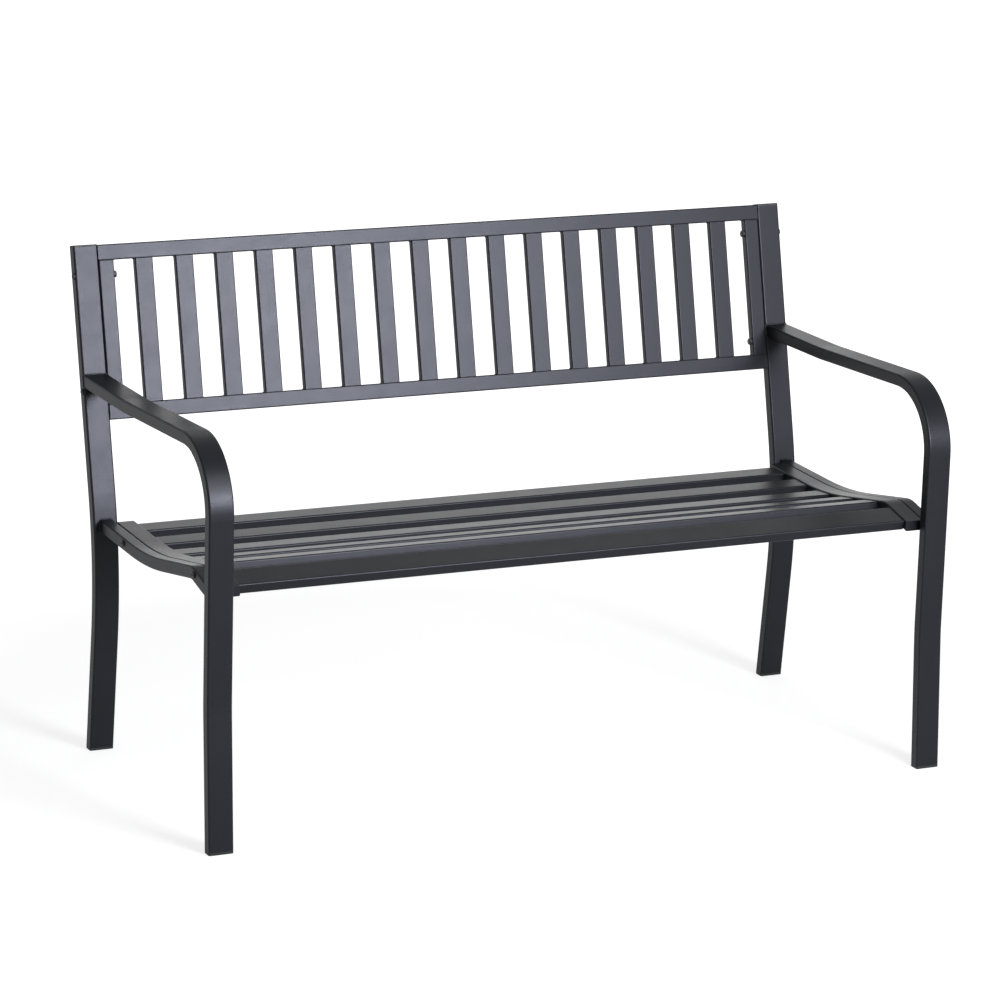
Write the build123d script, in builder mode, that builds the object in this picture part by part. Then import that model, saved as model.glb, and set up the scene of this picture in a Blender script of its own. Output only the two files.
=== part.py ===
"""Free-standing metal garden bench with a slatted back and a slatted seat.

X runs along the bench, -Y is the front, +Z is up, and the origin lies on the ground
under the middle of the bench. Places along Y are given from the front of the feet.
"""
from build123d import *
from math import cos, radians, sin
import os

MM = 1.0

# Whole bench
overall_width = 1257.3 * MM
overall_depth = 641.35 * MM
overall_height = 806.45 * MM

# Side frame tube, with its wide face to the front
frame_width = 40 * MM
frame_thick = 20 * MM
frame_wall = 1.5 * MM
frame_corner = 3 * MM

# Rear post: lower part splays back, upper part reclines
post_recline = 13.7
post_splay = 6.2
post_bend_height = 308 * MM
post_bend_radius = 680 * MM

# Front leg and arm, one bent tube, which drops a little from its front corner
leg_kick = 3.4
leg_bend_height = 225 * MM
leg_bend_radius = 400 * MM
arm_height = 619 * MM
arm_corner_radius = 101 * MM
arm_dip_share = 0.6
arm_dip_drop = 18.5 * MM
arm_dip_radius = 400 * MM
arm_end_drop = 21.3 * MM

# Plastic feet and post caps
foot_flange = 4 * MM
foot_plug_depth = 18 * MM
cap_flange = 3.5 * MM
cap_plug_depth = 16 * MM
plug_clearance = 0.2 * MM
plug_edge = 1 * MM

# Seat line, the top of the side rails and of the end bars: its height at the leg, and its
# crest and dip, with shares of the run from leg to post and heights above or below the leg end
seat_height = 402.5 * MM
seat_crest_share = 0.164
seat_crest_rise = 17 * MM
seat_crest_radius = 55 * MM
seat_dip_share = 0.57
seat_dip_drop = 19.5 * MM
seat_dip_radius = 700 * MM
seat_rear_drop = 16.5 * MM

# Side rail, a square tube in the middle of the frame tube's width
rail_size = 20 * MM
rail_wall = 1.5 * MM
rail_corner = 2.5 * MM

# Seat panel: two end bars, five slats and a deeper front slat
panel_clearance = 0.3 * MM
bar_width = 30 * MM
bar_height = 16 * MM
bar_wall = 1.5 * MM
bar_corner = 2 * MM
bar_end_plate = 1.5 * MM
bar_front_gap = 7 * MM
bar_rear_gap = 21 * MM
slat_count = 5
slat_width = 42 * MM
slat_thick = 16 * MM
slat_wall = 1.2 * MM
slat_corner = 2.5 * MM
slat_rear_gap = 30 * MM
slat_front_gap = 40 * MM
slat_drop = 2 * MM
front_slat_width = 50 * MM
front_slat_height = 16 * MM
front_slat_inset = 13 * MM

# Back panel: two rails, two stiles and sixteen slats
back_tube_width = 25 * MM
back_tube_thick = 15 * MM
back_tube_wall = 1.2 * MM
back_tube_corner = 2 * MM
back_height = 276.5 * MM
back_top_drop = 1 * MM
back_clearance = 0.4 * MM
back_slat_count = 16
back_slat_width = 30 * MM
back_slat_thick = 12 * MM
back_slat_wall = 1.2 * MM
back_slat_corner = 2 * MM
back_slat_end_gap = 35.85 * MM
back_slat_recess = 1.5 * MM

# Back bolts, washers and nuts
bolt_dia = 6 * MM
bolt_head_dia = 10.5 * MM
bolt_head_height = 2.4 * MM
bolt_head_edge = 1.5 * MM
bolt_hole_clearance = 0.25 * MM
bolt_tip = 1 * MM
thread_clearance = 0.05 * MM
bolt_inset = 47.5 * MM
washer_dia = 11 * MM
washer_thick = 1 * MM
nut_flats = 10 * MM
nut_height = 3.2 * MM
socket_flats = 4 * MM
socket_depth = 1.2 * MM

# Seat bolts and the nuts welded inside the end bars, placed along the seat line
seat_bolt_dia = 6 * MM
seat_head_dia = 11 * MM
seat_head_height = 3 * MM
seat_head_edge = 2 * MM
seat_nut_flats = 10 * MM
seat_nut_height = 5 * MM
seat_socket_flats = 4 * MM
seat_socket_depth = 1.8 * MM
seat_bolt_from_post = 108 * MM
seat_bolt_from_leg = 68 * MM

# Extra length that a cut or a trimmed run passes its end
overrun = 30 * MM

# Side frames, seen from the front
front_y = -overall_depth / 2
side_face = overall_width / 2 - bolt_head_height
side_x = side_face - frame_width / 2
inner_face = side_face - frame_width
half_frame = frame_thick / 2
plug_width = frame_width - 2 * frame_wall - 2 * plug_clearance
plug_thick = frame_thick - 2 * frame_wall - 2 * plug_clearance
plug_corner = frame_corner - frame_wall / 2
sides = (("left", -1), ("right", 1))

# Front leg
kick_y, kick_z = sin(radians(leg_kick)), cos(radians(leg_kick))
leg_foot_y = front_y + half_frame / kick_z - foot_flange * kick_y / kick_z
leg_y = leg_foot_y + leg_bend_height * kick_y / kick_z
leg_rear = leg_y + half_frame

# Rear post
up_y, up_z = sin(radians(post_recline)), cos(radians(post_recline))
splay_y, splay_z = -sin(radians(post_splay)), cos(radians(post_splay))
edge_loss = plug_edge * (up_y + up_z - 1)
post_top_y = front_y + overall_depth - half_frame * up_z + edge_loss
post_top_z = overall_height - half_frame * up_y + edge_loss
post_bend_y = post_top_y - (post_top_z - post_bend_height) * up_y / up_z
post_foot_y = post_bend_y - post_bend_height * splay_y / splay_z

# Front face of the post's bend, an arc about one centre
half_turn = radians(post_recline + post_splay) / 2
half_lean = radians(post_recline - post_splay) / 2
bend_centre_y = post_bend_y + post_bend_radius * cos(half_lean) / cos(half_turn)
bend_centre_z = post_bend_height - post_bend_radius * sin(half_lean) / cos(half_turn)
bend_face_radius = post_bend_radius + half_frame

# Plane of the posts' straight front faces, which is also the back panel's front
post_face = Plane(
    origin=(0, post_top_y - half_frame * up_z, post_top_z + half_frame * up_y),
    x_dir=(1, 0, 0),
    z_dir=(0, -up_z, up_y),
)

# Plane across the rear end of the side rails, on the post's bend
seat_rear_height = seat_height - seat_rear_drop
rail_mid_z = seat_rear_height - rail_size / 2
rail_end_y = bend_centre_y - (bend_face_radius**2 - (rail_mid_z - bend_centre_z) ** 2) ** 0.5
rail_end = Plane(
    origin=(0, rail_end_y, rail_mid_z),
    x_dir=(1, 0, 0),
    z_dir=(0, rail_end_y - bend_centre_y, rail_mid_z - bend_centre_z),
)
leg_face = Plane(origin=(0, leg_rear, 0), x_dir=(1, 0, 0), z_dir=(0, 1, 0))

# Widths across the bench
rail_outer = side_x + rail_size / 2
bar_outer = rail_outer - rail_size - panel_clearance
bar_x = bar_outer - bar_width / 2
panel_half = bar_outer - bar_width
back_half = inner_face - back_clearance
stile_x = back_half - back_tube_width / 2
back_top = -back_top_drop
back_bottom = back_top - back_height
back_mid = -back_tube_thick / 2
back_slat_reach = back_half - back_tube_width - back_slat_end_gap - back_slat_width / 2
back_slat_pitch = 2 * back_slat_reach / (back_slat_count - 1)


def save(piece, name):
    """Label one finished piece and write its file."""
    piece.part.label = name
    export_step(piece.part, f"parts/{name}.step")


def side_plane(x):
    """Upright plane along Y and Z at one place across the bench."""
    return Plane(origin=(x, 0, 0), x_dir=(0, 1, 0), z_dir=(1, 0, 0))


def across(line):
    """Plane across the start of a line, with its x along the bench."""
    return Plane(origin=line @ 0, x_dir=(1, 0, 0), z_dir=line % 0)


def tube_profile(width, thick, wall, corner):
    """Rounded rectangular ring, drawn where the builder stands."""
    RectangleRounded(width, thick, corner)
    RectangleRounded(width - 2 * wall, thick - 2 * wall, corner - wall / 2, mode=Mode.SUBTRACT)


def post_route(x):
    """Centreline of a rear post, run past the ground."""
    with BuildLine(side_plane(x)) as route:
        FilletPolyline(
            (post_foot_y - overrun * splay_y, -overrun * splay_z),
            (post_bend_y, post_bend_height),
            (post_top_y - cap_flange * up_y, post_top_z - cap_flange * up_z),
            radius=post_bend_radius,
        )
    return route.line


def arm_leg_route(x):
    """Centreline of a front leg and its arm, run past the ground and the post."""
    with BuildLine(side_plane(x)) as route:
        FilletPolyline(
            (leg_foot_y - overrun * kick_y, -overrun * kick_z),
            (leg_y, leg_bend_height),
            (leg_y, arm_height),
            (leg_y + arm_dip_share * (post_top_y - leg_y), arm_height - arm_dip_drop),
            (post_top_y + overrun, arm_height - arm_end_drop),
            radius=[leg_bend_radius, arm_corner_radius, arm_dip_radius],
        )
    return route.line


def seat_route(x, extra):
    """Top line of the seat's side from the post to the leg, run past both by extra."""
    run = rail_end_y - leg_rear
    rear = Vector(rail_end_y, seat_rear_height)
    dip = Vector(leg_rear + seat_dip_share * run, seat_height - seat_dip_drop)
    crest = Vector(leg_rear + seat_crest_share * run, seat_height + seat_crest_rise)
    front = Vector(leg_rear, seat_height)
    start = rear + (rear - dip).normalized() * extra
    end = front + (front - crest).normalized() * extra
    corners = [tuple(point) for point in (start, dip, crest, end)]
    with BuildLine(side_plane(x)) as route:
        FilletPolyline(*corners, radius=[seat_dip_radius, seat_crest_radius])
    return route.line


seat_line = Wire(seat_route(0, 0).edges())


def seat_spot(run):
    """Point on the seat line and the direction to the front there."""
    return seat_line.position_at(run, PositionMode.LENGTH), seat_line.tangent_at(run, PositionMode.LENGTH)


def across_seat(x, run):
    """Plane along the bench at one place of the seat line, with its y pointing down."""
    point, ahead = seat_spot(run)
    return Plane(origin=(x, point.Y, point.Z), x_dir=ahead, z_dir=(1, 0, 0))


def back_bolt_axes():
    """Outward plane of each back bolt at the post's outer face."""
    for _, sign in sides:
        for up in (back_top - bolt_inset, back_bottom + bolt_inset):
            point = post_face.from_local_coords((0, up, back_mid))
            yield Plane(origin=(sign * side_face, point.Y, point.Z), x_dir=(0, 1, 0), z_dir=(sign, 0, 0))


def seat_bolt_axes():
    """Outward plane of each seat bolt at the side rail's outer face."""
    for _, sign in sides:
        for run in (seat_bolt_from_post, seat_line.length - seat_bolt_from_leg):
            point = across_seat(0, run).from_local_coords((0, bar_height / 2, 0))
            yield Plane(origin=(sign * rail_outer, point.Y, point.Z), x_dir=(0, 1, 0), z_dir=(sign, 0, 0))


back_bolts_at = list(back_bolt_axes())
seat_bolts_at = list(seat_bolt_axes())


def bolt(axis, dia, length, head_dia, head_height, head_edge, flats, depth):
    """Domed bolt with a hexagon socket; its head stands on the axis plane."""
    with BuildSketch(axis) as shank:
        Circle(dia / 2)
    extrude(shank.sketch, amount=-length)
    with BuildSketch(axis) as disc:
        Circle(head_dia / 2)
    head = extrude(disc.sketch, amount=head_height)
    top_edge = head.faces().sort_by(Axis(axis.origin, axis.z_dir))[-1].edges()
    fillet(top_edge, radius=head_edge)
    with BuildSketch(axis.offset(head_height)) as socket:
        RegularPolygon(flats / 2, 6, major_radius=False)
    extrude(socket.sketch, amount=-depth, mode=Mode.SUBTRACT)


def hex_nut(axis, flats, height, dia):
    """Hexagon nut standing inward from the axis plane."""
    with BuildSketch(axis) as ring:
        RegularPolygon(flats / 2, 6, major_radius=False)
        Circle(dia / 2 + thread_clearance, mode=Mode.SUBTRACT)
    extrude(ring.sketch, amount=-height)


os.makedirs("parts", exist_ok=True)

# Rear posts with the back bolts' holes
for side, sign in sides:
    with BuildPart() as post:
        route = post_route(sign * side_x)
        with BuildSketch(across(route)):
            tube_profile(frame_width, frame_thick, frame_wall, frame_corner)
        sweep(path=route)
        split(bisect_by=Plane.XY.offset(foot_flange), keep=Keep.TOP)
        for axis in back_bolts_at:
            if axis.origin.X * sign > 0:
                with BuildSketch(axis.offset(overrun)):
                    Circle(bolt_dia / 2 + bolt_hole_clearance)
                extrude(amount=-(frame_width + 2 * overrun), mode=Mode.SUBTRACT)
    save(post, f"{side}_rear_post")

# Front legs with their arms, each one bent tube
for side, sign in sides:
    with BuildPart() as arm_leg:
        route = arm_leg_route(sign * side_x)
        with BuildSketch(across(route)):
            tube_profile(frame_width, frame_thick, frame_wall, frame_corner)
        sweep(path=route)
        split(bisect_by=Plane.XY.offset(foot_flange), keep=Keep.TOP)
        split(bisect_by=post_face, keep=Keep.TOP)
    save(arm_leg, f"{side}_arm_leg")

# Post caps, a flange with a plug in the tube
for side, sign in sides:
    with BuildPart() as cap:
        rim = Plane(
            origin=(sign * side_x, post_top_y - cap_flange * up_y, post_top_z - cap_flange * up_z),
            x_dir=(1, 0, 0),
            z_dir=(0, up_y, up_z),
        )
        with BuildSketch(rim):
            RectangleRounded(frame_width, frame_thick, frame_corner)
        extrude(amount=cap_flange)
        fillet(cap.faces().sort_by(Axis(rim.origin, rim.z_dir))[-1].edges(), radius=plug_edge)
        with BuildSketch(rim):
            RectangleRounded(plug_width, plug_thick, plug_corner)
        extrude(amount=-cap_plug_depth)
    save(cap, f"{side}_post_cap")

# Feet, a flange on the ground with a plug that follows the leg
feet = (
    ("front", leg_foot_y, kick_y, kick_z),
    ("rear", post_foot_y, splay_y, splay_z),
)
for side, sign in sides:
    for place, foot_y, lean_y, lean_z in feet:
        with BuildPart() as foot:
            sole = Plane(origin=(sign * side_x, foot_y + foot_flange * lean_y / lean_z, foot_flange))
            with BuildSketch(sole):
                RectangleRounded(frame_width, frame_thick / lean_z, frame_corner)
            extrude(amount=-foot_flange)
            fillet(foot.faces().sort_by(Axis.Z)[0].edges(), radius=plug_edge)
            with BuildSketch(sole):
                RectangleRounded(plug_width, plug_thick / lean_z, plug_corner)
            extrude(amount=foot_plug_depth, dir=(0, lean_y, lean_z))
        save(foot, f"{side}_{place}_foot")

# Side rails between post and leg, under the seat line
for side, sign in sides:
    with BuildPart() as side_rail:
        route = seat_route(sign * side_x, half_frame)
        with BuildSketch(across(route)):
            with Locations((0, -rail_size / 2)):
                tube_profile(rail_size, rail_size, rail_wall, rail_corner)
        sweep(path=route)
        post_run = post_route(sign * side_x)
        with BuildSketch(across(post_run)):
            RectangleRounded(frame_width, frame_thick, frame_corner)
        sweep(path=post_run, mode=Mode.SUBTRACT)
        split(bisect_by=leg_face, keep=Keep.TOP)
        for axis in seat_bolts_at:
            if axis.origin.X * sign > 0:
                with BuildSketch(axis.offset(overrun)):
                    Circle(seat_bolt_dia / 2 + bolt_hole_clearance)
                extrude(amount=-(rail_size + 2 * overrun), mode=Mode.SUBTRACT)
    save(side_rail, f"{side}_side_rail")

# End bars of the seat panel, each closed at the front by a plate welded into the tube
for side, sign in sides:
    with BuildPart() as end_bar:
        route = seat_route(sign * bar_x, overrun)
        with BuildSketch(across(route)):
            with Locations((0, -bar_height / 2)):
                tube_profile(bar_width, bar_height, bar_wall, bar_corner)
        sweep(path=route)
        split(bisect_by=rail_end.offset(bar_rear_gap), keep=Keep.TOP)
        split(bisect_by=leg_face.offset(bar_front_gap), keep=Keep.TOP)
        mouth = end_bar.faces().sort_by(Axis.Y)[0]
        extrude(Face(mouth.outer_wire()), amount=bar_end_plate, dir=-(seat_line % 1))
        for axis in seat_bolts_at:
            if axis.origin.X * sign > 0:
                with BuildSketch(axis):
                    Circle(seat_bolt_dia / 2 + bolt_hole_clearance)
                extrude(amount=-(rail_size + panel_clearance + bar_width / 2), mode=Mode.SUBTRACT)
    save(end_bar, f"{side}_end_bar")

# Seat slats, counted from the back
slat_first = slat_rear_gap + slat_width / 2
slat_last = seat_line.length - front_slat_inset - front_slat_width - slat_front_gap - slat_width / 2
slat_pitch = (slat_last - slat_first) / (slat_count - 1)
for index in range(slat_count):
    with BuildPart() as slat:
        with BuildSketch(across_seat(-panel_half, slat_first + index * slat_pitch)):
            with Locations((0, slat_drop + slat_thick / 2)):
                tube_profile(slat_width, slat_thick, slat_wall, slat_corner)
        extrude(amount=2 * panel_half)
    save(slat, f"seat_slat_{index + 1}")

# Front slat on the roll-down
with BuildPart() as front_slat:
    front_slat_at = seat_line.length - front_slat_inset - front_slat_width / 2
    with BuildSketch(across_seat(-panel_half, front_slat_at)):
        with Locations((0, slat_drop + front_slat_height / 2)):
            tube_profile(front_slat_width, front_slat_height, slat_wall, slat_corner)
    extrude(amount=2 * panel_half)
save(front_slat, "front_slat")

# Rails of the back panel
for name, up in (("top", back_top - back_tube_width / 2), ("bottom", back_bottom + back_tube_width / 2)):
    with BuildPart() as back_rail:
        start = Plane(
            origin=post_face.from_local_coords((-back_half, up, back_mid)),
            x_dir=post_face.y_dir,
            z_dir=(1, 0, 0),
        )
        with BuildSketch(start):
            tube_profile(back_tube_width, back_tube_thick, back_tube_wall, back_tube_corner)
        extrude(amount=2 * back_half)
    save(back_rail, f"back_{name}_rail")

# Stiles between the rails, with the back bolts' holes
upright_start = back_bottom + back_tube_width
upright_length = back_height - 2 * back_tube_width
for side, sign in sides:
    with BuildPart() as stile:
        start = Plane(
            origin=post_face.from_local_coords((sign * stile_x, upright_start, back_mid)),
            x_dir=(1, 0, 0),
            z_dir=post_face.y_dir,
        )
        with BuildSketch(start):
            tube_profile(back_tube_width, back_tube_thick, back_tube_wall, back_tube_corner)
        extrude(amount=upright_length)
        for axis in back_bolts_at:
            if axis.origin.X * sign > 0:
                with BuildSketch(axis):
                    Circle(bolt_dia / 2 + bolt_hole_clearance)
                extrude(amount=-(frame_width + back_tube_width + overrun), mode=Mode.SUBTRACT)
    save(stile, f"{side}_back_stile")

# Back slats, counted from the left
for index in range(back_slat_count):
    with BuildPart() as back_slat:
        slat_x = (index - (back_slat_count - 1) / 2) * back_slat_pitch
        depth = back_slat_recess + back_slat_thick / 2
        start = Plane(
            origin=post_face.from_local_coords((slat_x, upright_start, -depth)),
            x_dir=(1, 0, 0),
            z_dir=post_face.y_dir,
        )
        with BuildSketch(start):
            tube_profile(back_slat_width, back_slat_thick, back_slat_wall, back_slat_corner)
        extrude(amount=upright_length)
    save(back_slat, f"back_slat_{index + 1:02d}")

# Back bolts through post and stile, each with a washer and a nut
stile_run = frame_width + back_clearance + back_tube_width
with BuildPart() as back_bolts:
    for axis in back_bolts_at:
        bolt(
            axis, bolt_dia, stile_run + washer_thick + nut_height + bolt_tip,
            bolt_head_dia, bolt_head_height, bolt_head_edge, socket_flats, socket_depth,
        )
save(back_bolts, "back_bolts")

with BuildPart() as back_washers:
    for axis in back_bolts_at:
        with BuildSketch(axis.offset(-stile_run)):
            Circle(washer_dia / 2)
            Circle(bolt_dia / 2 + bolt_hole_clearance, mode=Mode.SUBTRACT)
        extrude(amount=-washer_thick)
save(back_washers, "back_washers")

with BuildPart() as back_nuts:
    for axis in back_bolts_at:
        hex_nut(axis.offset(-(stile_run + washer_thick)), nut_flats, nut_height, bolt_dia)
save(back_nuts, "back_nuts")

# Seat bolts through the side rails into nuts inside the end bars
bar_run = rail_size + panel_clearance + bar_wall
with BuildPart() as seat_bolts:
    for axis in seat_bolts_at:
        bolt(
            axis, seat_bolt_dia, bar_run + seat_nut_height + bolt_tip,
            seat_head_dia, seat_head_height, seat_head_edge, seat_socket_flats, seat_socket_depth,
        )
save(seat_bolts, "seat_bolts")

with BuildPart() as seat_nuts:
    for axis in seat_bolts_at:
        hex_nut(axis.offset(-bar_run), seat_nut_flats, seat_nut_height, seat_bolt_dia)
save(seat_nuts, "seat_nuts")
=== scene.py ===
import math

import bpy
from mathutils import Matrix, Vector


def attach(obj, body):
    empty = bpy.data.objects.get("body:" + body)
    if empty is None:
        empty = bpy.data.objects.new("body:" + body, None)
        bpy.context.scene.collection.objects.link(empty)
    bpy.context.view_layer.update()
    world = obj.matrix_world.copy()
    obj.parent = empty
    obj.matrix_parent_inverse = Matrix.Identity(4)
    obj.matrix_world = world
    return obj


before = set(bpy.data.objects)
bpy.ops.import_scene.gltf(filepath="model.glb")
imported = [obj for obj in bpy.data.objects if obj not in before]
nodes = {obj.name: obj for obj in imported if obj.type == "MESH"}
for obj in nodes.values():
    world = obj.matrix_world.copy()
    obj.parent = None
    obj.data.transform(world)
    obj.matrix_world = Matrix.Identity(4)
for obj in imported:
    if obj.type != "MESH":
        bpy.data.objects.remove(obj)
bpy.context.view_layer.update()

# Lengths are in metres, angles in degrees, lamp powers in watts.

# Camera: the lens, place and turn that set the bench as the photograph shows it.
lens_mm = 155.241
sensor_mm = 36.0
camera_place = (-2.810580, -6.005630, 2.166538)
camera_azimuth = -24.959
camera_elevation = 14.789
camera_roll = 1.642
nearest_seen = 0.1
farthest_seen = 200.0

# Lamps and world.
plain_white = (1.0, 1.0, 1.0, 1.0)
cool_white = (0.91, 0.92, 1.0)
ambient_strength = 0.27
white_strength = 1.0
# The share of the white background that gloss and glass show; the rest is the ambient light.
gloss_share = 0.4

# Floor: it shows the bench's shadow up to the first distance and is plain white from the second.
floor_half_side = 20.0
floor_color = (0.90, 0.90, 0.90, 1.0)
floor_glow = 1.30
shadow_reach = 0.9
white_from = 2.2
white_share_near = 0.60

# Bench: how far the back leans, the numbers of slats, and the slope of the side rails' rear ends.
recline = 13.7
seat_slat_count = 5
back_slat_count = 16
rail_to_leg = (0.0, -1.0, 0.0)
rail_to_post = (0.0, 0.9865, -0.164)

# Weld beads.
bead_radius = 0.0013
slat_bead_radius = 0.0010
ripple_pitch = 0.0014
ripple_depth = 0.16
steps_per_ripple = 3.0
sway_scale = 160.0
sway_detail = 2.0
sway_middle = 0.5
sway_share = 0.7
bead_sides = 8

# Reading a tube's end from its mesh.
end_depth = 0.0004
side_share = 0.4
place_digits = 6
straight = 1e-10

# Surfaces.
gloss_ior = 1.5
edge_samples = 4
tube_highlight_radius = 0.0022
bolt_edge_radius = 0.0008
node_spacing = 180


def view_axes():
    """The camera's right, up and backward directions."""
    turn = math.radians(camera_azimuth)
    rise = math.radians(camera_elevation)
    roll = math.radians(camera_roll)
    level = math.cos(rise)
    back = Vector((math.sin(turn) * level, -math.cos(turn) * level, math.sin(rise)))
    right = Vector((math.cos(turn), math.sin(turn), 0.0))
    up = back.cross(right)
    rolled_right = right * math.cos(roll) + up * math.sin(roll)
    rolled_up = up * math.cos(roll) - right * math.sin(roll)
    return rolled_right, rolled_up, back


def make_camera():
    data = bpy.data.cameras.new("bench_camera")
    data.sensor_width = sensor_mm
    data.lens = lens_mm
    data.clip_start = nearest_seen
    data.clip_end = farthest_seen
    camera = bpy.data.objects.new("bench_camera", data)
    turned = Matrix(view_axes()).transposed().to_4x4()
    camera.matrix_world = Matrix.Translation(camera_place) @ turned
    bpy.context.scene.collection.objects.link(camera)
    bpy.context.scene.camera = camera


def soft_lamp(name, place, aim, size, power, color=(1.0, 1.0, 1.0), spread=180.0):
    """A rectangular softbox that points at aim."""
    data = bpy.data.lights.new(name, "AREA")
    data.shape = "RECTANGLE"
    data.size, data.size_y = size
    data.energy = power
    data.color = color
    data.spread = math.radians(spread)
    lamp = bpy.data.objects.new(name, data)
    lamp.location = place
    lamp.rotation_euler = (Vector(aim) - Vector(place)).to_track_quat("-Z", "Y").to_euler()
    bpy.context.scene.collection.objects.link(lamp)


def light_studio():
    soft_lamp(
        "key_softbox", place=(1.00, -3.63, 1.68), aim=(0.0, 0.2, 0.90), size=(1.3, 1.0),
        power=34.0, color=cool_white, spread=70.0)
    soft_lamp(
        "rear_softbox", place=(0.75, 1.9, 0.52), aim=(0.1, 0.0, 0.42), size=(1.7, 1.0),
        power=7.0)
    soft_lamp(
        "high_softbox", place=(1.35, 2.4, 2.1), aim=(0.2, -0.2, 0.42), size=(1.6, 1.0),
        power=4.5)
    soft_lamp(
        "floor_softbox", place=(0.5, -2.4, 2.4), aim=(0.15, -2.2, 0.0), size=(1.6, 1.2),
        power=37.0)


class Nodes:
    """A node tree, with short calls that add a node, set it and join it to others."""

    def __init__(self, tree):
        self.tree = tree
        self.columns = 0

    def add(self, kind, settings=None, inputs=None):
        node = self.tree.nodes.new(kind)
        self.columns += 1
        node.location = (self.columns * node_spacing, 0)
        for key, value in (settings or {}).items():
            setattr(node, key, value)
        for key, value in (inputs or {}).items():
            if isinstance(value, bpy.types.NodeSocket):
                self.tree.links.new(value, node.inputs[key])
            else:
                node.inputs[key].default_value = value
        return node

    def math(self, operation, first, second=0.0):
        node = self.add("ShaderNodeMath", {"operation": operation}, {0: first, 1: second})
        return node.outputs["Value"]

    def mixed(self, share, first, second):
        node = self.add("ShaderNodeMixShader", {}, {0: share, 1: first, 2: second})
        return node.outputs["Shader"]

    def seen_or_mirrored(self):
        """1 for rays that see a surface directly, less in gloss and glass, 0 for its light."""
        path = self.add("ShaderNodeLightPath").outputs
        mirrored = self.math("MAXIMUM", path["Is Glossy Ray"], path["Is Transmission Ray"])
        mirrored = self.math("MULTIPLY", mirrored, gloss_share)
        return self.math("MAXIMUM", path["Is Camera Ray"], mirrored)


class Finish(Nodes):
    """A material's nodes."""

    def __init__(self, name):
        self.material = bpy.data.materials.new(name)
        self.material.use_nodes = True
        super().__init__(self.material.node_tree)
        self.tree.nodes.clear()
        self.position = self.add("ShaderNodeTexCoord").outputs["Object"]

    def grain(self, scale, detail, roughness=0.5, position=None):
        """Noise of one size over the piece's own coordinates."""
        node = self.add("ShaderNodeTexNoise", {}, {
            "Vector": position or self.position,
            "Scale": scale, "Detail": detail, "Roughness": roughness})
        return node.outputs["Fac"]

    def spread(self, value, low, high, start=0.3, end=0.7):
        """The value's range, moved to run from low to high."""
        node = self.add("ShaderNodeMapRange", {}, {
            "Value": value, "From Min": start, "From Max": end, "To Min": low, "To Max": high})
        return node.outputs["Result"]

    def tint(self, value, dark, light, start=0.3, end=0.7):
        """A colour between dark and light, by the value."""
        ramp = self.add("ShaderNodeValToRGB", {}, {"Fac": value})
        first, last = ramp.color_ramp.elements
        first.position, first.color = start, (*dark, 1.0)
        last.position, last.color = end, (*light, 1.0)
        return ramp.outputs["Color"]

    def bump(self, height, distance, strength, under=None):
        inputs = {"Height": height, "Distance": distance, "Strength": strength}
        if under is not None:
            inputs["Normal"] = under
        return self.add("ShaderNodeBump", {}, inputs).outputs["Normal"]

    def lighter_edges(self, base, edge_tone, radius):
        """The base colour, turned to the edge tone along the rounded edges in broken patches."""
        rounded = self.add("ShaderNodeBevel", {"samples": edge_samples}, {"Radius": radius})
        facing = self.add("ShaderNodeNewGeometry")
        turn = self.add("ShaderNodeVectorMath", {"operation": "DOT_PRODUCT"}, {
            0: rounded.outputs["Normal"], 1: facing.outputs["True Normal"]})
        edge = self.spread(turn.outputs["Value"], low=1.0, high=0.0, start=0.80, end=0.99)
        patches = self.grain(scale=90.0, detail=4.0)
        broken = self.spread(patches, low=0.0, high=1.0, start=0.42, end=0.62)
        color = self.add("ShaderNodeMix", {"data_type": "RGBA"}, {
            "Factor": self.math("MULTIPLY", edge, broken), "A": base})
        color.inputs["B"].default_value = (*edge_tone, 1.0)
        return color.outputs["Result"]

    def surface(self, inputs):
        shader = self.add("ShaderNodeBsdfPrincipled", {}, inputs)
        self.add("ShaderNodeOutputMaterial", {}, {"Surface": shader.outputs["BSDF"]})
        return self.material


def make_powder_coat():
    """Semi-gloss black powder coat: an orange-peel skin, with a painted highlight along the
    rounded edges.
    """
    s = Finish("powder_coat_black")
    cloud = s.grain(scale=9.0, detail=4.0)
    base = s.tint(cloud, dark=(0.0050, 0.0053, 0.0068), light=(0.0070, 0.0074, 0.0094))
    # Painted highlight: the rounded edges turn lighter in broken patches, standing in for the
    # light the edges catch.
    color = s.lighter_edges(base, (0.026, 0.027, 0.031), tube_highlight_radius)
    smear = s.grain(scale=26.0, detail=5.0, roughness=0.6)
    speck = s.grain(scale=420.0, detail=2.0)
    rough = s.math(
        "ADD", s.spread(smear, low=0.360, high=0.390), s.spread(speck, low=-0.02, high=0.03))
    wave = s.bump(s.grain(scale=170.0, detail=1.0), distance=0.00022, strength=0.10)
    peel = s.bump(s.grain(scale=820.0, detail=2.0), distance=0.00006, strength=0.28, under=wave)
    return s.surface({
        "Base Color": color, "Roughness": rough, "IOR": gloss_ior, "Specular IOR Level": 0.28,
        "Specular Tint": (0.88, 0.90, 1.0, 1.0), "Normal": peel})


def make_moulded_plastic():
    """Matt black moulded plastic with a fine spark-eroded grain."""
    s = Finish("moulded_plastic_black")
    cloud = s.grain(scale=60.0, detail=3.0)
    base = s.tint(cloud, dark=(0.010, 0.010, 0.0105), light=(0.017, 0.017, 0.018))
    rough = s.spread(s.grain(scale=350.0, detail=3.0), low=0.46, high=0.60)
    grain = s.bump(s.grain(scale=1500.0, detail=2.0), distance=0.00005, strength=0.5)
    return s.surface({
        "Base Color": base, "Roughness": rough, "Specular IOR Level": 0.4, "Normal": grain})


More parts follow.
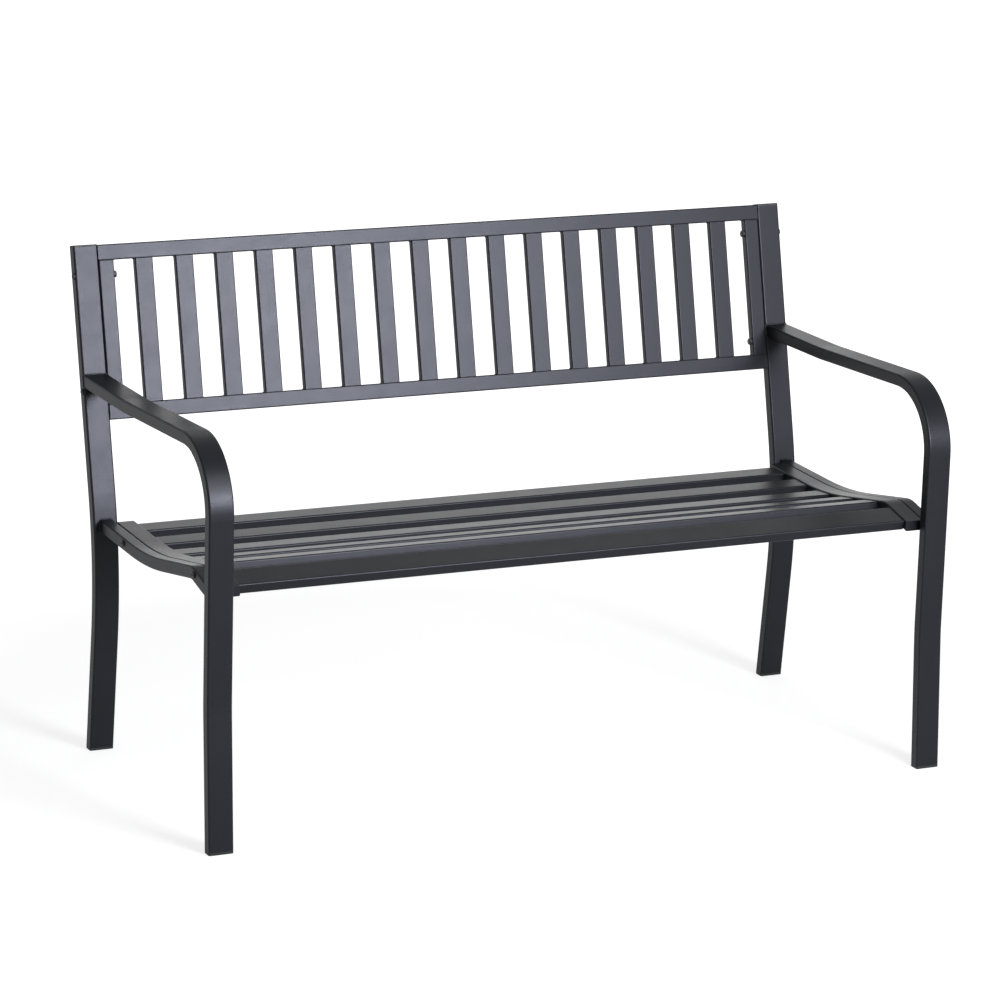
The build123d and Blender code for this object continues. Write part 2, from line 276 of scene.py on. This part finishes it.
def make_bolt_black():
    """Black-coated steel of the bolts, a little lighter along the rounded edges in broken
    patches.
    """
    s = Finish("bolt_black")
    cloud = s.grain(scale=300.0, detail=4.0)
    base = s.tint(cloud, dark=(0.018, 0.018, 0.020), light=(0.045, 0.045, 0.048))
    color = s.lighter_edges(base, (0.11, 0.11, 0.115), bolt_edge_radius)
    rough = s.spread(s.grain(scale=500.0, detail=3.0), low=0.30, high=0.46)
    skin = s.bump(s.grain(scale=1900.0, detail=2.0), distance=0.00003, strength=0.5)
    return s.surface({"Base Color": color, "Metallic": 0.35, "Roughness": rough, "Normal": skin})


def make_nut_dark():
    """Dark oxide on the nuts and washers."""
    s = Finish("nut_dark_oxide")
    cloud = s.grain(scale=260.0, detail=4.0)
    base = s.tint(cloud, dark=(0.030, 0.029, 0.029), light=(0.075, 0.073, 0.072))
    rough = s.spread(s.grain(scale=600.0, detail=3.0), low=0.32, high=0.50)
    skin = s.bump(s.grain(scale=1700.0, detail=2.0), distance=0.00003, strength=0.5)
    return s.surface({"Base Color": base, "Metallic": 0.6, "Roughness": rough, "Normal": skin})


def make_plain_steel():
    """Zinc-plated steel of the nuts inside the end bars, brushed along X."""
    s = Finish("zinc_plated_steel")
    drawn = s.add("ShaderNodeMapping", {}, {"Vector": s.position, "Scale": (0.15, 1.0, 1.0)})
    streak = s.grain(scale=2400.0, detail=2.0, position=drawn.outputs["Vector"])
    cloud = s.grain(scale=240.0, detail=3.0)
    base = s.tint(cloud, dark=(0.46, 0.46, 0.45), light=(0.62, 0.62, 0.60))
    rough = s.spread(streak, low=0.24, high=0.38)
    skin = s.bump(streak, distance=0.00002, strength=0.4)
    return s.surface({"Base Color": base, "Metallic": 1.0, "Roughness": rough, "Normal": skin})


def make_floor_finish():
    """White that takes the bench's soft shadow near it, and is plain white far from it."""
    s = Finish("studio_floor")
    lit = s.add("ShaderNodeBsdfDiffuse", {}, {"Color": floor_color})
    white = s.add("ShaderNodeEmission", {}, {"Color": plain_white, "Strength": floor_glow})
    away = s.add("ShaderNodeVectorMath", {"operation": "LENGTH"}, {0: s.position})
    share = s.spread(
        away.outputs["Value"], low=white_share_near, high=1.0,
        start=shadow_reach, end=white_from)
    share = s.math("MULTIPLY", s.seen_or_mirrored(), share)
    seen = s.mixed(share, lit.outputs["BSDF"], white.outputs["Emission"])
    s.add("ShaderNodeOutputMaterial", {}, {"Surface": seen})
    return s.material


def make_floor():
    mesh = bpy.data.meshes.new("studio_floor")
    half = floor_half_side
    corners = [(-half, -half, 0), (half, -half, 0), (half, half, 0), (-half, half, 0)]
    mesh.from_pydata(corners, [], [(0, 1, 2, 3)])
    mesh.materials.append(make_floor_finish())
    floor = bpy.data.objects.new("studio_floor", mesh)
    bpy.context.scene.collection.objects.link(floor)


def make_world():
    """White where it is seen, and a plain soft light on the bench."""
    world = bpy.data.worlds.new("studio_light")
    world.use_nodes = True
    w = Nodes(world.node_tree)
    w.tree.nodes.clear()
    ambient = w.add("ShaderNodeBackground", {}, {
        "Color": plain_white, "Strength": ambient_strength})
    white = w.add("ShaderNodeBackground", {}, {"Color": plain_white, "Strength": white_strength})
    seen = w.mixed(
        w.seen_or_mirrored(), ambient.outputs["Background"], white.outputs["Background"])
    w.add("ShaderNodeOutputWorld", {}, {"Surface": seen})
    bpy.context.scene.world = world


def outline(points, across, upward):
    """The points on the outside of a flat set, in order round it."""
    flat = sorted({
        (round(p.dot(across), place_digits), round(p.dot(upward), place_digits), i)
        for i, p in enumerate(points)})
    ring = []
    for run in (flat, flat[::-1]):
        chain = []
        for q in run:
            while len(chain) > 1:
                (ax, ay, _), (bx, by, _) = chain[-2:]
                if (bx - ax) * (q[1] - ay) - (by - ay) * (q[0] - ax) > straight:
                    break
                chain.pop()
            chain.append(q)
        ring += chain[:-1]
    return [points[i] for _, _, i in ring]


def joint_line(node, toward, side=None):
    """The edge of a tube's end, where it is welded, and whether it is a whole ring.

    toward points out of the tube's end. side keeps only the part of the edge on that side.
    """
    toward = Vector(toward).normalized()
    corners = [v.co.copy() for v in nodes[node].data.vertices]
    reach = max(p.dot(toward) for p in corners)
    end = [p for p in corners if p.dot(toward) > reach - end_depth]
    across = toward.orthogonal().normalized()
    ring = outline(end, across, toward.cross(across))
    if side is None:
        return ring, True
    side = Vector(side).normalized()
    middle = sum(ring, Vector()) / len(ring)
    far = max((p - middle).dot(side) for p in ring)
    kept = [(p - middle).dot(side) > side_share * far for p in ring]
    first = next(i for i in range(len(ring)) if kept[i] and not kept[i - 1])
    run = [(first + i) % len(ring) for i in range(len(ring))]
    return [ring[i] for i in run if kept[i]], False


def lines_object(name, lines):
    """The lines as the bare edges of one mesh."""
    mesh = bpy.data.meshes.new(name)
    points, edges = [], []
    for line, whole in lines:
        start = len(points)
        points += line
        edges += [(start + i, start + i + 1) for i in range(len(line) - 1)]
        if whole:
            edges.append((len(points) - 1, start))
    mesh.from_pydata(points, edges, [])
    made = bpy.data.objects.new(name, mesh)
    bpy.context.scene.collection.objects.link(made)
    return made


class WeldBead(Nodes):
    """A Geometry Nodes tree that runs a rippled bead along each line."""

    def __init__(self, coat):
        super().__init__(bpy.data.node_groups.new("weld_bead", "GeometryNodeTree"))
        sockets = self.tree.interface
        sockets.new_socket("Geometry", in_out="INPUT", socket_type="NodeSocketGeometry")
        sockets.new_socket("Geometry", in_out="OUTPUT", socket_type="NodeSocketGeometry")
        self.identifiers = {}
        for size in ("Bead Radius", "Ripple Pitch", "Ripple Depth"):
            socket = sockets.new_socket(size, in_out="INPUT", socket_type="NodeSocketFloat")
            self.identifiers[size] = socket.identifier
        given = self.add("NodeGroupInput").outputs
        radius = self.math("MULTIPLY", given["Bead Radius"], self.swell(given))
        line = self.even_line(given)
        self.finish(self.round_bead(line, radius), coat)

    def even_line(self, given):
        """Each line as a curve, with the same number of steps in every ripple."""
        curve = self.add("GeometryNodeMeshToCurve", {}, {"Mesh": given["Geometry"]})
        even = self.add("GeometryNodeResampleCurve", {"mode": "LENGTH"}, {
            "Curve": curve.outputs["Curve"],
            "Length": self.math("DIVIDE", given["Ripple Pitch"], steps_per_ripple)})
        return even.outputs["Curve"]

    def swell(self, given):
        """How thick the bead is along its line: ripples, on a slow uneven sway."""
        along = self.add("GeometryNodeSplineParameter").outputs["Length"]
        turns = self.math("DIVIDE", self.math("MULTIPLY", along, math.pi), given["Ripple Pitch"])
        ripple = self.math("ABSOLUTE", self.math("SINE", turns))
        sway = self.add("ShaderNodeTexNoise", {"noise_dimensions": "3D"}, {
            "Scale": sway_scale, "Detail": sway_detail})
        sway = self.math("SUBTRACT", sway.outputs["Fac"], sway_middle)
        sway = self.math("ADD", self.math("MULTIPLY", sway, sway_share), 1.0)
        return self.math("ADD", self.math("MULTIPLY", ripple, given["Ripple Depth"]), sway)

    def round_bead(self, line, radius):
        thick = self.add("GeometryNodeSetCurveRadius", {}, {"Curve": line, "Radius": radius})
        ring = self.add("GeometryNodeCurvePrimitiveCircle", {"mode": "RADIUS"}, {
            "Resolution": bead_sides, "Radius": 1.0})
        reach = self.add("GeometryNodeInputRadius")
        bead = self.add("GeometryNodeCurveToMesh", {}, {
            "Curve": thick.outputs["Curve"], "Profile Curve": ring.outputs["Curve"],
            "Scale": reach.outputs["Radius"], "Fill Caps": True})
        return bead.outputs["Mesh"]

    def finish(self, geometry, coat):
        whole = self.add("GeometryNodeRealizeInstances", {}, {"Geometry": geometry})
        smooth = self.add("GeometryNodeSetShadeSmooth", {}, {
            "Geometry": whole.outputs["Geometry"]})
        painted = self.add("GeometryNodeSetMaterial", {}, {
            "Geometry": smooth.outputs["Geometry"], "Material": coat})
        self.add("NodeGroupOutput", {}, {"Geometry": painted.outputs["Geometry"]})

    def bake(self, host, name, sizes):
        """The bead on the host's lines, as a plain mesh."""
        modifier = host.modifiers.new("build", "NODES")
        modifier.node_group = self.tree
        for size, value in sizes.items():
            modifier[self.identifiers[size]] = value
        evaluated = host.evaluated_get(bpy.context.evaluated_depsgraph_get())
        mesh = bpy.data.meshes.new_from_object(evaluated)
        mesh.name = name
        bpy.data.objects.remove(host)
        made = bpy.data.objects.new(name, mesh)
        bpy.context.scene.collection.objects.link(made)
        return made


def weld_lines():
    """The lines of the joints, for the frames, the seat and the back."""
    lean = math.radians(recline)
    up_panel = Vector((0.0, math.sin(lean), math.cos(lean)))
    into_post = Vector((0.0, math.cos(lean), -math.sin(lean)))
    underneath = (0.0, 0.0, -1.0)
    behind_and_under = (0.0, 1.0, -1.0)
    frames, seat, back = [], [], []
    for hand, outward in (("left", (-1.0, 0.0, 0.0)), ("right", (1.0, 0.0, 0.0))):
        frames.append(joint_line(f"{hand}_arm_leg", into_post))
        frames.append(joint_line(f"{hand}_side_rail", rail_to_leg))
        frames.append(joint_line(f"{hand}_side_rail", rail_to_post))
        for slat in range(1, seat_slat_count + 1):
            seat.append(joint_line(f"seat_slat_{slat}", outward, underneath))
        seat.append(joint_line("front_slat", outward, behind_and_under))
        back.append(joint_line(f"{hand}_back_stile", up_panel))
        back.append(joint_line(f"{hand}_back_stile", -up_panel))
    for slat in range(1, back_slat_count + 1):
        back.append(joint_line(f"back_slat_{slat:02d}", up_panel, into_post))
        back.append(joint_line(f"back_slat_{slat:02d}", -up_panel, into_post))
    return frames, seat, back


def make_welds(coat):
    weld_bead = WeldBead(coat)
    frames, seat, back = weld_lines()
    for name, lines, radius in (
            ("frame_welds", frames, bead_radius),
            ("seat_welds", seat, slat_bead_radius),
            ("back_welds", back, slat_bead_radius)):
        host = lines_object(name + "_lines", lines)
        welds = weld_bead.bake(host, name, {
            "Bead Radius": radius, "Ripple Pitch": ripple_pitch, "Ripple Depth": ripple_depth})
        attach(welds, "root")


def paint_nodes(finishes):
    """Each CAD node takes the finish that its own slot names."""
    for node in nodes.values():
        for slot in node.material_slots:
            slot.material = finishes[slot.material.name.split(".")[0]]


finishes = {
    "powder_coat": make_powder_coat(),
    "foot_plastic": make_moulded_plastic(),
    "bolt_black": make_bolt_black(),
    "nut_dark": make_nut_dark(),
    "plain_steel": make_plain_steel()}
paint_nodes(finishes)
make_welds(finishes["powder_coat"])
make_floor()
make_world()
light_studio()
make_camera()
bpy.context.scene.view_settings.view_transform = "Standard"
